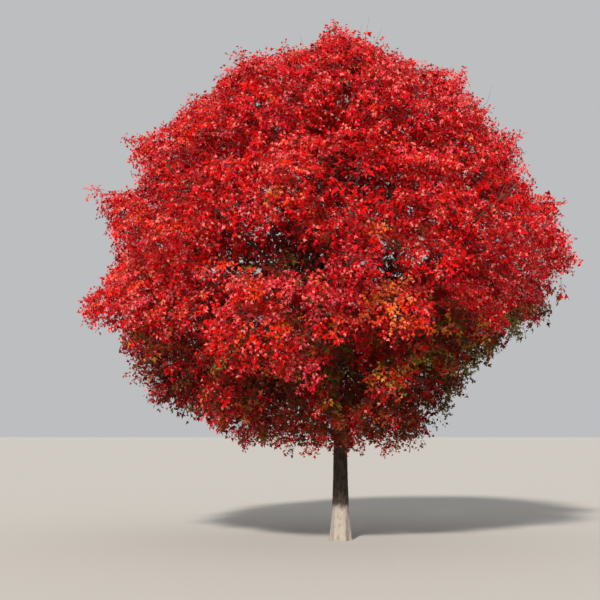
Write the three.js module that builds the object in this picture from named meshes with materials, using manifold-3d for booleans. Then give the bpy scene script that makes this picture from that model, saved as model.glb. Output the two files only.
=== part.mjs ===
// A red maple in full autumn colour, standing free on level ground: one trunk that runs on as a
// leader through the crown, boughs that rise from it in tiers, and a mass of foliage on each bough.
// Millimetres, +Z up, seen along +Y with +X to the right. The origin is the middle of the flat cut
// at ground level.
import * as THREE from 'three';
import { mergeVertices } from 'three/addons/utils/BufferGeometryUtils.js';
import Module from 'manifold-3d';

const wasm = await Module();
wasm.setup();

// Trunk: true taper, a lobed root flare, and a leader that sways left and comes back
const LEADER_HEIGHT = 6750;
const TRUNK_FOOT_RADIUS = 126;
const TRUNK_TIP_RADIUS = 26;
const FLARE_WIDTH = 42;
const FLARE_HEIGHT = 420;
const ROOT_LOBES = 6;
const ROOT_LOBE_SHARE = 0.13;
const ROOT_LOBE_HEIGHT = 230;
const ROOT_LOBE_TURN = 0.6;
const SWAY_START = 1400;
const SWAY_SPAN = 6200;
const SWAY_LEFT = 370;
const SWAY_BACK = 120;
const TRUNK_SIDES = 14;
const TRUNK_STEPS = 20;
const TRUNK_STEP_CROWDING = 1.6;

// Crown: each tier is a ring of foliage masses round the leader. Heights are those of their middles,
// reach is from the tier's own middle, which is shifted sideways, and rise lifts the tier's front.
// The boughs of a tier leave their parent between the first and last root heights.
const TIERS = [
  { name: 'skirt', count: 5, height: 2280, rise: -60, reach: 1400, shift: -420, size: 1000, turn: 180,
    roots: [1480, 1880], lean: 68, entry: -4, radius: 27 },
  { name: 'lower', count: 7, height: 3330, rise: -160, reach: 2330, shift: -330, size: 1110, turn: 205.7,
    forks: 'middle', forkAt: 0.4, lean: 62, entry: 8, radius: 31 },
  { name: 'middle', count: 7, height: 4850, rise: 80, reach: 2900, shift: -20, size: 1230, turn: 167.1,
    roots: [2080, 3130], lean: 44, entry: 30, radius: 54 },
  { name: 'upper', count: 6, height: 6180, rise: 90, reach: 1960, shift: -190, size: 1160, turn: 180,
    roots: [3520, 4470], lean: 38, entry: 46, radius: 40 },
  { name: 'crown', count: 3, height: 6780, rise: 0, reach: 1120, shift: 0, size: 1080, turn: 150,
    roots: [5160, 5620], lean: 30, entry: 50, radius: 29 },
];
const TOP = { name: 'top', height: 7100, size: 940, shift: -60 };
const MASS_FLATNESS = 0.84;
const HEIGHT_JITTER = 150;
const REACH_JITTER = 120;
const TURN_JITTER = 6;
const SIZE_JITTER = 0.09;

// The crown's outline, which is round in plan: its middle and how far its leaf tips reach at a height
const OUTLINE = [
  { z: 1300, middle: -200, reach: 1050 },
  { z: 1640, middle: -300, reach: 1750 },
  { z: 2200, middle: -600, reach: 2500 },
  { z: 2840, middle: -500, reach: 3050 },
  { z: 3500, middle: -500, reach: 3700 },
  { z: 3900, middle: -350, reach: 3950 },
  { z: 4400, middle: -20, reach: 4060 },
  { z: 5300, middle: -250, reach: 3960 },
  { z: 5540, middle: -220, reach: 3600 },
  { z: 5720, middle: -150, reach: 3350 },
  { z: 6000, middle: -200, reach: 3350 },
  { z: 6440, middle: -200, reach: 3250 },
  { z: 6680, middle: -120, reach: 2820 },
  { z: 6920, middle: -100, reach: 2560 },
  { z: 7160, middle: -50, reach: 2200 },
  { z: 7400, middle: -50, reach: 1980 },
  { z: 7640, middle: -50, reach: 1380 },
  { z: 7880, middle: 0, reach: 1000 },
  { z: 8120, middle: 0, reach: 600 },
  { z: 8400, middle: 0, reach: 450 },
];

// Gaps that open the crown from the front: each is a shaft from the eye point through the plane of
// the trunk, at x and z there
const EYE = { x: -640, y: -19200, z: 1660 };
const GAPS = [
  { x: -380, z: 4250, radius: 330 },
  { x: -1440, z: 4320, radius: 230 },
  { x: 770, z: 4250, radius: 260 },
];

// Limbs
const BOUGH_SIDES = 6;
const BOUGH_STEPS = 5;
const BOUGH_TAPER = 0.42;
const BOUGH_FOOT_SPRING = 0.38;
const LIMB_SPRING = 0.3;
const COLLAR = 0.4;
const COLLAR_LENGTH = 0.07;
const ENTRY_DEPTH = 0.72;
const STEM_SIDES = 4;
const STEM_STEPS = 3;
const STEM_REACH = 0.56;
const STEM_FOOT_SHARE = 0.92;
const STEM_TIP_RADIUS = 15;
const LEADER_END = 100;
// A limb's end stands this far off its neighbour. The cutter is wider, as its flats lie further in.
const JOINT_GAP = 0.3;
const CUTTER_GROWTH = 0.42;

// Twigs and leaf sprays: each blade stands for a spray of leaves, in a maple leaf's outline. The
// longest that fits is taken.
const TWIG_ON_STEM = 0.6;
const TWIG_ON_TWIG = 0.48;
const TWIG_TAPER = 0.8;
const TWIG_LEAST_RADIUS = 3.5;
const STUB_LENGTH = 10;
const TWIG_SPRING = 0.35;
const PLACES_A_STEP = 4;
const BACKWARD_COST = 0.8;
const LONG_TWIG = 900;
const LEADING_TWIG_START = 0.93;
const LEADING_TWIG_RADIUS = 9.5;
const LEADING_TWIG_REACH = 24;
const SPRAYS_TRIED = 45;
const SPRAY_SHELL = 0.84;
const SHELL_JITTER = 0.08;
const SPRAY_FACING = -0.34;
const SPRAY_LENGTHS = [820, 680, 560];
const SPRAY_HALF_THICKNESS = 9;
// The notch and the side lobe, along the blade from its foot and out from its midrib, as shares
const SPRAY_SIDE = [[0.63, 0.25], [0.5, 0.52]];
const SPRAY_MIDDLE = 0.44;
const FACE_UP = 0.45;
const FACE_TILT = 0.5;
const HANG_ANGLE = -0.5;
const HANG_TILT = 0.7;
const SPACE_MARGIN = 13;
const LIMB_MARGIN = 5;
// Faces thinner than this, which joining leaves, are closed up
const SLIVER = 0.3;
// Corners of one face's edge and the next that lie this close are one corner
const WELD = 1e-3;

const SEED = 20;
const MASS_SEED_STEP = 101;

const BARK = new THREE.MeshStandardMaterial({ color: '#8f857c', roughness: 0.9, metalness: 0 });
const LIMB_BARK = new THREE.MeshStandardMaterial({ color: '#6f655e', roughness: 0.88, metalness: 0 });
const LEAF_TINTS = ['#b3121b', '#c8201c', '#a30f1c', '#d03a1e'];
const LEAF_ROUGHNESS = 0.55;

const UP = new THREE.Vector3(0, 0, 1);
const GOLDEN_TURN = Math.PI * (3 - Math.sqrt(5));
const radians = THREE.MathUtils.degToRad;
const lerp = THREE.MathUtils.lerp;

// A linear congruential generator, so that each mass grows the same way every time.
function seeded(seed) {
  let state = seed >>> 0;
  return () => {
    state = (Math.imul(state, 1664525) + 1013904223) >>> 0;
    return state / 4294967296;
  };
}

function heading(turn, rise) {
  return new THREE.Vector3(
    Math.cos(turn) * Math.cos(rise), Math.sin(turn) * Math.cos(rise), Math.sin(rise));
}

class TrunkLine extends THREE.Curve {
  getPoint(t, target = new THREE.Vector3()) {
    const z = t * LEADER_HEIGHT;
    const sway = z < SWAY_START ? 0 : Math.sin(Math.PI * (z - SWAY_START) / SWAY_SPAN) ** 2;
    return target.set(-SWAY_LEFT * sway, SWAY_BACK * sway, z);
  }
}

function trunkRadius(z) {
  const taper = lerp(TRUNK_FOOT_RADIUS, TRUNK_TIP_RADIUS, z / LEADER_HEIGHT);
  return taper + FLARE_WIDTH * Math.exp(-z / FLARE_HEIGHT);
}

// The wasm solid of a geometry whose faces close once its doubled vertices are merged.
function solidOf(geometry) {
  const bare = new THREE.BufferGeometry();
  bare.setAttribute('position', geometry.getAttribute('position'));
  bare.setIndex(geometry.getIndex());
  const merged = mergeVertices(bare, WELD);
  return new wasm.Manifold(new wasm.Mesh({
    numProp: 3,
    vertProperties: merged.getAttribute('position').array,
    triVerts: new Uint32Array(merged.getIndex().array),
  }));
}

function geometryOf(solid) {
  const mesh = solid.getMesh();
  const geometry = new THREE.BufferGeometry();
  geometry.setAttribute('position', new THREE.BufferAttribute(mesh.vertProperties.slice(), 3));
  geometry.setIndex(new THREE.BufferAttribute(mesh.triVerts.slice(), 1));
  geometry.computeVertexNormals();
  return geometry;
}

function largestPiece(solid) {
  const pieces = solid.decompose();
  return pieces.reduce((best, piece) => (piece.volume() > best.volume() ? piece : best));
}

// A capped cylinder bent along a curve, each ring square to it, with a radius for each place.
function limbTube(curve, radiusAt, sides, steps) {
  const tube = new THREE.CylinderGeometry(1, 1, 1, sides, steps);
  const frames = curve.computeFrenetFrames(steps, false);
  const place = tube.getAttribute('position');
  const point = new THREE.Vector3();
  for (let i = 0; i < place.count; i++) {
    const along = place.getY(i) + 0.5;
    const ring = Math.round(along * steps);
    const radius = radiusAt(along);
    curve.getPointAt(along, point);
    point.addScaledVector(frames.normals[ring], place.getX(i) * radius);
    point.addScaledVector(frames.binormals[ring], -place.getZ(i) * radius);
    place.setXYZ(i, point.x, point.y, point.z);
  }
  return solidOf(tube);
}

// Rings crowd towards the foot, where the flare is, and stay level so that the cut is flat.
function buildTrunk(growth = 0) {
  const line = new TrunkLine();
  const tube = new THREE.CylinderGeometry(1, 1, 1, TRUNK_SIDES, TRUNK_STEPS);
  const place = tube.getAttribute('position');
  for (let i = 0; i < place.count; i++) {
    const middle = line.getPoint((place.getY(i) + 0.5) ** TRUNK_STEP_CROWDING);
    const turn = Math.atan2(-place.getZ(i), place.getX(i));
    const lobe = Math.exp(-middle.z / ROOT_LOBE_HEIGHT) * Math.cos(ROOT_LOBES * turn + ROOT_LOBE_TURN);
    const radius = trunkRadius(middle.z) * (1 + ROOT_LOBE_SHARE * lobe) + growth;
    place.setXYZ(i, middle.x + place.getX(i) * radius, middle.y - place.getZ(i) * radius, middle.z);
  }
  return solidOf(tube);
}

// Where every mass sits, how big it is, and which way its bough comes in.
function placeMasses() {
  const random = seeded(SEED);
  const spread = (width) => width * (2 * random() - 1);
  const masses = [];
  for (const tier of TIERS) {
    for (let i = 0; i < tier.count; i++) {
      const turn = radians(tier.turn + 360 * i / tier.count + spread(TURN_JITTER));
      const reach = tier.reach + spread(REACH_JITTER);
      const height = tier.height - tier.rise * Math.sin(turn) + spread(HEIGHT_JITTER);
      masses.push({
        name: `${tier.name}_${i + 1}`,
        tier,
        order: i,
        turn,
        centre: new THREE.Vector3(tier.shift + reach * Math.cos(turn), reach * Math.sin(turn), height),
        size: tier.size * (1 + spread(SIZE_JITTER)),
        outward: heading(turn, radians(tier.entry)),
      });
    }
  }
  masses.push({
    name: TOP.name,
    tier: TOP,
    turn: 0,
    centre: new THREE.Vector3(TOP.shift, 0, TOP.height),
    size: TOP.size,
    outward: UP.clone(),
  });
  masses.forEach((mass, i) => {
    mass.radii = new THREE.Vector3(mass.size, mass.size, mass.size * MASS_FLATNESS);
    mass.seed = SEED + MASS_SEED_STEP * (i + 1);
  });
  return masses;
}

// A line that leaves its foot along one heading and arrives at its tip along another.
function limbLine(foot, start, footSpring, tip, end, tipSpring) {
  return new THREE.CubicBezierCurve3(
    foot,
    foot.clone().addScaledVector(start, footSpring),
    tip.clone().addScaledVector(end, -tipSpring),
    tip);
}

// A bough: one sweep from its parent's line, rising first and then reaching out to its mass.
function buildBough(mass, foot, cutter) {
  const { tier, turn, outward } = mass;
  const tip = mass.centre.clone().addScaledVector(outward, -ENTRY_DEPTH * mass.size);
  const span = foot.distanceTo(tip);
  const start = heading(turn, radians(90 - tier.lean));
  const curve = limbLine(foot, start, BOUGH_FOOT_SPRING * span, tip, outward, LIMB_SPRING * span);
  const radiusAt = (t) => {
    const collar = 1 + COLLAR * Math.exp(-t / COLLAR_LENGTH);
    return tier.radius * lerp(1, BOUGH_TAPER, t) * collar;
  };
  return {
    curve,
    tipRadius: radiusAt(1),
    solid: largestPiece(limbTube(curve, radiusAt, BOUGH_SIDES, BOUGH_STEPS).subtract(cutter)),
    cutter: limbTube(curve, (t) => radiusAt(t) + CUTTER_GROWTH, BOUGH_SIDES, BOUGH_STEPS),
  };
}

function buildBoughs(masses) {
  const boughs = new Map();
  const line = new TrunkLine();
  const trunkCutter = buildTrunk(CUTTER_GROWTH);
  for (const mass of masses.filter((each) => each.tier.roots)) {
    const { roots, count } = mass.tier;
    // Neighbours in a ring leave the trunk at heights well apart
    const stride = count % 3 === 0 ? count - 1 : 3;
    const share = ((mass.order * stride + 1) % count) / (count - 1);
    const foot = line.getPoint(lerp(roots[0], roots[1], share) / LEADER_HEIGHT);
    boughs.set(mass.name, buildBough(mass, foot, trunkCutter));
  }
  for (const mass of masses.filter((each) => each.tier.forks)) {
    const parent = boughs.get(`${mass.tier.forks}_${mass.order + 1}`);
    const foot = parent.curve.getPointAt(mass.tier.forkAt);
    boughs.set(mass.name, buildBough(mass, foot, parent.cutter));
  }
  // The top mass goes straight up from the leader's own flat tip
  const leaderTip = line.getPoint(1);
  const leaderEnd = new THREE.LineCurve3(leaderTip.clone().addScaledVector(UP, -LEADER_END), leaderTip);
  boughs.set(TOP.name, { curve: leaderEnd, tipRadius: TRUNK_TIP_RADIUS });
  return boughs;
}

// The stem of a mass goes on from its bough's tip, or from the leader's, out through its middle.
function buildStem(mass, bough) {
  const start = bough.curve.getTangentAt(1);
  const foot = bough.curve.getPointAt(1).addScaledVector(start, JOINT_GAP);
  const tip = mass.centre.clone().addScaledVector(mass.outward, STEM_REACH * mass.size);
  const spring = LIMB_SPRING * foot.distanceTo(tip);
  const curve = limbLine(foot, start, spring, tip, mass.outward, spring);
  const radii = [bough.tipRadius * STEM_FOOT_SHARE, STEM_TIP_RADIUS];
  const solid = limbTube(curve, (t) => lerp(...radii, t), STEM_SIDES, STEM_STEPS);
  const end = { point: curve.getPointAt(LEADING_TWIG_START), twigRadius: LEADING_TWIG_RADIUS };
  return { curve, radii, foot, tip, end, solid };
}

function insideOutline(point) {
  const next = OUTLINE.findIndex((ring) => ring.z > point.z);
  if (next < 1) return false;
  const [low, high] = [OUTLINE[next - 1], OUTLINE[next]];
  const share = (point.z - low.z) / (high.z - low.z);
  const aside = point.x - lerp(low.middle, high.middle, share);
  return Math.hypot(aside, point.y) < lerp(low.reach, high.reach, share);
}

// The space that a mass keeps to: within the crown's outline, and on its own side of a plane between
// it and each other mass.
function ownSpace(mass, masses) {
  const walls = masses.filter((other) => other !== mass).map((other) => {
    const across = other.centre.clone().sub(mass.centre);
    const share = mass.size / (mass.size + other.size);
    return { point: mass.centre.clone().addScaledVector(across, share), normal: across.normalize() };
  });
  return (point) => insideOutline(point)
    && walls.every((wall) => point.clone().sub(wall.point).dot(wall.normal) < -SPACE_MARGIN);
}

function inGap(point) {
  const ahead = point.y - EYE.y;
  return GAPS.some((gap) => {
    const share = ahead / -EYE.y;
    const aside = point.x - lerp(EYE.x, gap.x, share);
    const above = point.z - lerp(EYE.z, gap.z, share);
    return Math.hypot(aside, above) < gap.radius * share;
  });
}

// Where the sprays of a mass sit and how they hang: first the one at the end of the stem, and then
// a golden spiral of them over the mass's outer side, from the stem's foot outwards.
function spraysOf(mass, stem) {
  const random = seeded(mass.seed);
  const spin = 2 * Math.PI * random();
  const sprays = [];
  for (let i = 0; i < SPRAYS_TRIED; i++) {
    const rise = Math.asin(1 - 2 * (i + 0.5) / SPRAYS_TRIED);
    const out = heading(spin + i * GOLDEN_TURN, rise);
    const shell = SPRAY_SHELL * (1 + SHELL_JITTER * (2 * random() - 1));
    const tilt = new THREE.Vector3(random() - 0.5, random() - 0.5, random() - 0.5);
    if (out.dot(mass.outward) < SPRAY_FACING) continue;
    const middle = mass.centre.clone().add(out.clone().multiply(mass.radii).multiplyScalar(shell));
    if (inGap(middle)) continue;
    // The blade faces out and up, and hangs away from the middle of the crown
    const normal = out.clone().addScaledVector(UP, FACE_UP).addScaledVector(tilt, FACE_TILT).normalize();
    const hang = heading(mass.turn, HANG_ANGLE).addScaledVector(tilt, HANG_TILT);
    const along = hang.addScaledVector(normal, -hang.dot(normal)).normalize();
    sprays.push({ middle, normal, along });
  }
  sprays.sort((a, b) => a.middle.distanceTo(stem.foot) - b.middle.distanceTo(stem.foot));
  const side = mass.outward.clone().cross(heading(mass.turn + Math.PI / 2, 0)).normalize();
  const leaderReach = LEADING_TWIG_REACH + SPRAY_MIDDLE * SPRAY_LENGTHS[0];
  const leader = {
    middle: stem.tip.clone().addScaledVector(mass.outward, leaderReach),
    normal: side.z < 0 ? side.negate() : side,
    along: mass.outward.clone(),
    leads: true,
  };
  return [leader, ...sprays];
}

// Places that twigs can leave along a line as it is built, which is straight from ring to ring, with
// the radius of the twig that each has room for.
function placesOn(line, steps, twigRadii) {
  const places = [];
  for (let step = 0; step < steps; step++) {
    const [from, to] = [line.getPointAt(step / steps), line.getPointAt((step + 1) / steps)];
    const tangent = to.clone().sub(from).normalize();
    for (let i = 1; i <= PLACES_A_STEP; i++) {
      const share = i / (PLACES_A_STEP + 0.5);
      const twigRadius = Math.max(TWIG_LEAST_RADIUS, lerp(...twigRadii, (step + share) / steps));
      places.push({ point: from.clone().lerp(to, share), tangent, twigRadius });
    }
  }
  return places;
}

// A twig leaves the nearest place that carries none yet, favouring places that it can leave forwards,
// and bends round to the heading of its spray.
function growTwig(grown, target, along) {
  let best = null;
  for (const place of grown.filter((each) => !each.taken)) {
    const way = target.clone().sub(place.point);
    const distance = way.length();
    const forward = way.dot(place.tangent) / distance;
    const cost = distance * (1 + BACKWARD_COST * (1 - forward));
    if (!best || cost < best.cost) best = { cost, place, distance };
  }
  const { place, distance } = best;
  const spring = TWIG_SPRING * distance;
  return { place, line: limbLine(place.point, place.tangent, spring, target, along, spring) };
}

// A twig that opens into its blade: rings of three corners along the line, left, top and right, and
// then a flat two-sided pyramid on the leaf outline. Each ring is square to the straight stretch
// behind it and turned to meet the blade, and the last leans halfway to the blade.
function sprayShape(line, steps, [footRadius, tipRadius], { along, normal }, length) {
  const points = [];
  const faces = [];
  const across = along.clone().cross(normal);
  const middles = Array.from({ length: steps + 1 }, (_, ring) => line.getPointAt(ring / steps));
  let side = across;
  for (let ring = steps; ring >= 0; ring--) {
    const middle = middles[ring];
    const [from, to] = ring === 0 ? middles : middles.slice(ring - 1);
    const square = to.clone().sub(from).normalize();
    if (ring === steps) square.add(along).normalize();
    side = side.clone().addScaledVector(square, -side.dot(square)).normalize();
    const top = side.clone().cross(square);
    const radius = lerp(footRadius, tipRadius, ring / steps);
    points.unshift(
      middle.clone().addScaledVector(side, -radius),
      middle.clone().addScaledVector(top, radius),
      middle.clone().addScaledVector(side, radius));
  }
  for (let ring = 0; ring < steps; ring++) {
    for (let corner = 0; corner < 3; corner++) {
      const [a, b] = [3 * ring + corner, 3 * ring + (corner + 1) % 3];
      faces.push(a, b, b + 3, a, b + 3, a + 3);
    }
  }
  faces.push(2, 1, 0);
  const [left, top, right] = [3 * steps, 3 * steps + 1, 3 * steps + 2];
  const foot = line.getPointAt(1);
  const add = (share, aside, height) => points.push(foot.clone()
    .addScaledVector(along, share * length)
    .addScaledVector(across, aside * length)
    .addScaledVector(normal, height)) - 1;
  const tip = add(1, 0, 0);
  const [notchLeft, lobeLeft] = SPRAY_SIDE.map(([share, aside]) => add(share, -aside, 0));
  const [notchRight, lobeRight] = SPRAY_SIDE.map(([share, aside]) => add(share, aside, 0));
  const above = add(SPRAY_MIDDLE, 0, SPRAY_HALF_THICKNESS);
  const below = add(SPRAY_MIDDLE, 0, -SPRAY_HALF_THICKNESS);
  const over = [tip, notchLeft, lobeLeft, left, top, right, lobeRight, notchRight];
  const under = over.filter((corner) => corner !== top);
  over.forEach((corner, i) => faces.push(above, corner, over[(i + 1) % over.length]));
  under.forEach((corner, i) => faces.push(below, under[(i + 1) % under.length], corner));
  return new THREE.BufferGeometry().setFromPoints(points).setIndex(faces);
}

// The blade's tip and side lobes, which reach furthest.
function bladeCorners(foot, { along, normal }, length) {
  const across = along.clone().cross(normal);
  return [[1, 0], ...SPRAY_SIDE].flatMap(([share, aside]) => [-1, 1].map((hand) => foot.clone()
    .addScaledVector(along, share * length)
    .addScaledVector(across, hand * aside * length)));
}

function boxed(solid, owner) {
  return { solid, owner, box: solid.boundingBox() };
}

function boxesMeet(a, b) {
  return [0, 1, 2].every((k) => a.min[k] <= b.max[k] + LIMB_MARGIN && b.min[k] <= a.max[k] + LIMB_MARGIN);
}

function isClear(piece, others) {
  return others.every((other) => !boxesMeet(piece.box, other.box)
    || piece.solid.minGap(other.solid, 2 * LIMB_MARGIN) >= LIMB_MARGIN);
}

// The longest version of a spray, with its twig, that stays inside and touches nothing, or null.
function fitSpray(spray, grown, stem, inside, obstacles) {
  for (const length of SPRAY_LENGTHS) {
    const foot = spray.middle.clone().addScaledVector(spray.along, -SPRAY_MIDDLE * length);
    const { place, line } = spray.leads
      ? { place: stem.end, line: new THREE.LineCurve3(stem.end.point, foot) }
      : growTwig(grown, foot, spray.along);
    const steps = line.getLength() > LONG_TWIG ? 2 : 1;
    const radii = [place.twigRadius, place.twigRadius * TWIG_TAPER];
    const places = placesOn(line, steps, radii.map((each) => each * TWIG_ON_TWIG));
    const reached = bladeCorners(foot, spray, length).concat(places.map((place) => place.point));
    if (!reached.every(inside)) continue;
    const piece = boxed(solidOf(sprayShape(line, steps, radii, spray, length)));
    if (!isClear(piece, obstacles)) continue;
    const stub = new THREE.LineCurve3(foot.clone().addScaledVector(spray.along, -STUB_LENGTH), foot);
    place.taken = true;
    return { places, piece, blade: boxed(solidOf(sprayShape(stub, 1, radii, spray, length))) };
  }
  return null;
}

// One mass: its stem, with every twig and spray that keeps to the space and touches no limb.
function buildMass(mass, masses, stem, limbs) {
  const inside = ownSpace(mass, masses);
  const grown = placesOn(stem.curve, STEM_STEPS, stem.radii.map((each) => each * TWIG_ON_STEM));
  const pieces = [stem.solid];
  const obstacles = limbs.filter((limb) => limb.owner !== mass);
  for (const spray of spraysOf(mass, stem)) {
    const fitted = fitSpray(spray, grown, stem, inside, obstacles);
    if (!fitted) continue;
    grown.push(...fitted.places);
    pieces.push(fitted.piece.solid);
    obstacles.push(fitted.blade);
  }
  return largestPiece(wasm.Manifold.union(pieces).asOriginal().simplify(SLIVER));
}

function addNode(tree, name, solid, material) {
  const mesh = new THREE.Mesh(geometryOf(solid), material);
  mesh.name = name;
  tree.add(mesh);
}

function buildTree() {
  const tree = new THREE.Group();
  const masses = placeMasses();
  const boughs = buildBoughs(masses);
  const trunk = buildTrunk();
  addNode(tree, 'trunk', trunk, BARK);
  const limbs = [boxed(trunk)];
  const stems = new Map();
  for (const mass of masses) {
    const bough = boughs.get(mass.name);
    const stem = buildStem(mass, bough);
    stems.set(mass, stem);
    limbs.push(boxed(stem.solid, mass));
    if (bough.solid) {
      limbs.push(boxed(bough.solid));
      addNode(tree, `bough_${mass.name}`, bough.solid, LIMB_BARK);
    }
  }
  masses.forEach((mass, i) => {
    const color = LEAF_TINTS[i % LEAF_TINTS.length];
    const leaves = new THREE.MeshStandardMaterial({ color, roughness: LEAF_ROUGHNESS, metalness: 0 });
    addNode(tree, `foliage_${mass.name}`, buildMass(mass, masses, stems.get(mass), limbs), leaves);
  });
  return tree;
}

export default buildTree();
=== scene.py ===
import math

import bpy
import numpy as np
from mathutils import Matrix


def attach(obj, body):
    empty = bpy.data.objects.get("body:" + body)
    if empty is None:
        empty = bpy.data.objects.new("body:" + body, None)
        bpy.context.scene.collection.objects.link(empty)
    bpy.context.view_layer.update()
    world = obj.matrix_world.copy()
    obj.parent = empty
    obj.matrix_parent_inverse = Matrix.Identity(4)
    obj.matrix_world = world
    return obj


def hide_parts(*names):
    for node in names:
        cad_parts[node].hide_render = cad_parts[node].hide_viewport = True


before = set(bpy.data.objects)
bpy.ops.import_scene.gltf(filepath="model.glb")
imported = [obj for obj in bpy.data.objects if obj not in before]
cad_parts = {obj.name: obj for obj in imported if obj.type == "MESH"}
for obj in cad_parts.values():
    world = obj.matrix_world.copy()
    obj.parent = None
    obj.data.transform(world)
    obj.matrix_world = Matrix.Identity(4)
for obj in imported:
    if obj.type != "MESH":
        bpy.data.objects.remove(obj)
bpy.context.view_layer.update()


# Trunk
# The single stem of a young red maple, about 0.35 m across at its lobed root flare, which runs on
# through the crown as a swaying leader. Solid wood in thin grey bark that is cracked lengthways.

LEADER_HEIGHT = 6.75
TRUNK_FOOT_RADIUS = 0.126
TRUNK_TIP_RADIUS = 0.026
FLARE_WIDTH = 0.042
FLARE_HEIGHT = 0.42
ROOT_LOBES = 6
ROOT_LOBE_SHARE = 0.13
ROOT_LOBE_HEIGHT = 0.23
ROOT_LOBE_TURN = 0.6
SWAY_START = 1.4
SWAY_SPAN = 6.2
SWAY_LEFT = 0.37
SWAY_BACK = 0.12
TRUNK_SIDES = 84
TRUNK_RINGS = 220
TRUNK_RING_CROWDING = 1.35
TRUNK_CRACKS = {"Crack Depth": 0.0055, "Crack Spacing": 0.021, "Crack Length": 0.11}
# Cracks wind along the middle value of noise whose swells are two spacings across. How far from that
# value their hollow reaches, and where in the colour their dark bottom ends and a plate begins
CRACK_NOISE = {"Scale": 0.5, "Detail": 3.0, "Roughness": 0.55}
CRACK_REACH = 0.07
CRACK_BOTTOM = 0.006
CRACK_RIM = 0.05
# Blotches of lichen and weathering are about a hand across: the values of noise that are left dark
# and that are palest. The grain of the plates is about 4 mm wide
BLOTCHES_A_METRE = 9
DARK_BLOTCH = 0.4
PALE_BLOTCH = 0.62
GRAINS_A_METRE = 240
# The height up to which the foot is painted pale as sunlit, where that painted light ends, and how uneven
# its edge is
SUNLIT_FOOT_BELOW = 0.54
SUNLIT_FOOT_END = 0.66
SUNLIT_EDGE_UNEVEN = 0.16


def leader_at(height):
    """The middle of the trunk at a height: plumb at first, then swaying left and coming back."""
    sway = math.sin(math.pi * (height - SWAY_START) / SWAY_SPAN) ** 2 if height > SWAY_START else 0
    return np.array([-SWAY_LEFT * sway, SWAY_BACK * sway, height])


def add_node(tree, kind, sockets=None, **settings):
    """Adds a node: settings are its own, and sockets gives its inputs a value or another node's output."""
    made = tree.nodes.new(kind)
    for name, setting in settings.items():
        setattr(made, name, setting)
    for name, value in (sockets or {}).items():
        if isinstance(value, bpy.types.NodeSocket):
            tree.links.new(value, made.inputs[name])
        else:
            made.inputs[name].default_value = value
    return made


def new_tree(name, **inputs):
    """An empty Geometry Nodes tree with named inputs, and the node that they come in by."""
    tree = bpy.data.node_groups.new(name, "GeometryNodeTree")
    tree.is_modifier = True
    for label, kind in inputs.items():
        socket = "NodeSocket" + kind
        tree.interface.new_socket(label.replace("_", " "), in_out="INPUT", socket_type=socket)
    tree.interface.new_socket("Grown", in_out="OUTPUT", socket_type="NodeSocketGeometry")
    return tree, tree.nodes.new("NodeGroupInput").outputs


def grow(name, mesh, tree, values):
    """Runs a Geometry Nodes tree on a mesh and keeps the result as the plain mesh of one piece."""
    piece = bpy.data.objects.new(name, mesh)
    bpy.context.scene.collection.objects.link(piece)
    modifier = piece.modifiers.new(tree.name, "NODES")
    modifier.node_group = tree
    for socket in tree.interface.items_tree:
        if socket.name in values:
            modifier[socket.identifier] = values[socket.name]
    depsgraph = bpy.context.evaluated_depsgraph_get()
    grown = bpy.data.meshes.new_from_object(piece.evaluated_get(depsgraph))
    piece.modifiers.clear()
    piece.data = grown
    grown.name = name
    return piece


def linear(code):
    """A hex colour as the eye names it, turned into the renderer's linear values."""
    shares = [int(code[i:i + 2], 16) / 255 for i in (1, 3, 5)]
    return [s / 12.92 if s <= 0.04045 else ((s + 0.055) / 1.055) ** 2.4 for s in shares] + [1.0]


def beside_crack(tree, cells):
    """How far the noise is from its middle value, and so a place from the line of a crack."""
    noise = add_node(tree, "ShaderNodeTexNoise", {"Vector": cells, **CRACK_NOISE}).outputs[0]
    off_line = add_node(tree, "ShaderNodeMath", {0: noise, 1: 0.5}, operation="SUBTRACT").outputs[0]
    return add_node(tree, "ShaderNodeMath", {0: off_line}, operation="ABSOLUTE").outputs[0]


# The relief of the bark: a limb's surface sinks in along its cracks, which are drawn out upwards
bark_tree, bark_in = new_tree("bark_relief", Limb="Geometry", Bark="Material", Crack_Depth="Float",
                              Crack_Spacing="Float", Crack_Length="Float")
place = add_node(bark_tree, "GeometryNodeInputPosition").outputs[0]
cell = add_node(bark_tree, "ShaderNodeCombineXYZ", {
    "X": bark_in["Crack Spacing"], "Y": bark_in["Crack Spacing"], "Z": bark_in["Crack Length"]}).outputs[0]
scaled = add_node(bark_tree, "ShaderNodeVectorMath", {0: place, 1: cell}, operation="DIVIDE").outputs[0]
crack = add_node(bark_tree, "ShaderNodeMapRange", {
    "Value": beside_crack(bark_tree, scaled), "From Min": 0.0, "From Max": CRACK_REACH,
    "To Min": -1.0, "To Max": 0.0}, interpolation_type="SMOOTHSTEP").outputs[0]
depth = add_node(bark_tree, "ShaderNodeMath", {0: crack, 1: bark_in["Crack Depth"]},
                 operation="MULTIPLY").outputs[0]
outwards = add_node(bark_tree, "GeometryNodeInputNormal").outputs[0]
push = add_node(bark_tree, "ShaderNodeVectorMath", {
    0: outwards, "Scale": depth}, operation="SCALE").outputs[0]
carved = add_node(bark_tree, "GeometryNodeSetPosition", {
    "Geometry": bark_in["Limb"], "Offset": push}).outputs[0]
smooth = add_node(bark_tree, "GeometryNodeSetShadeSmooth", {"Geometry": carved}).outputs[0]
whole = add_node(bark_tree, "GeometryNodeRealizeInstances", {"Geometry": smooth}).outputs[0]
barked = add_node(bark_tree, "GeometryNodeSetMaterial", {
    "Geometry": whole, "Material": bark_in["Bark"]}).outputs[0]
add_node(bark_tree, "NodeGroupOutput", {"Grown": barked})


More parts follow.
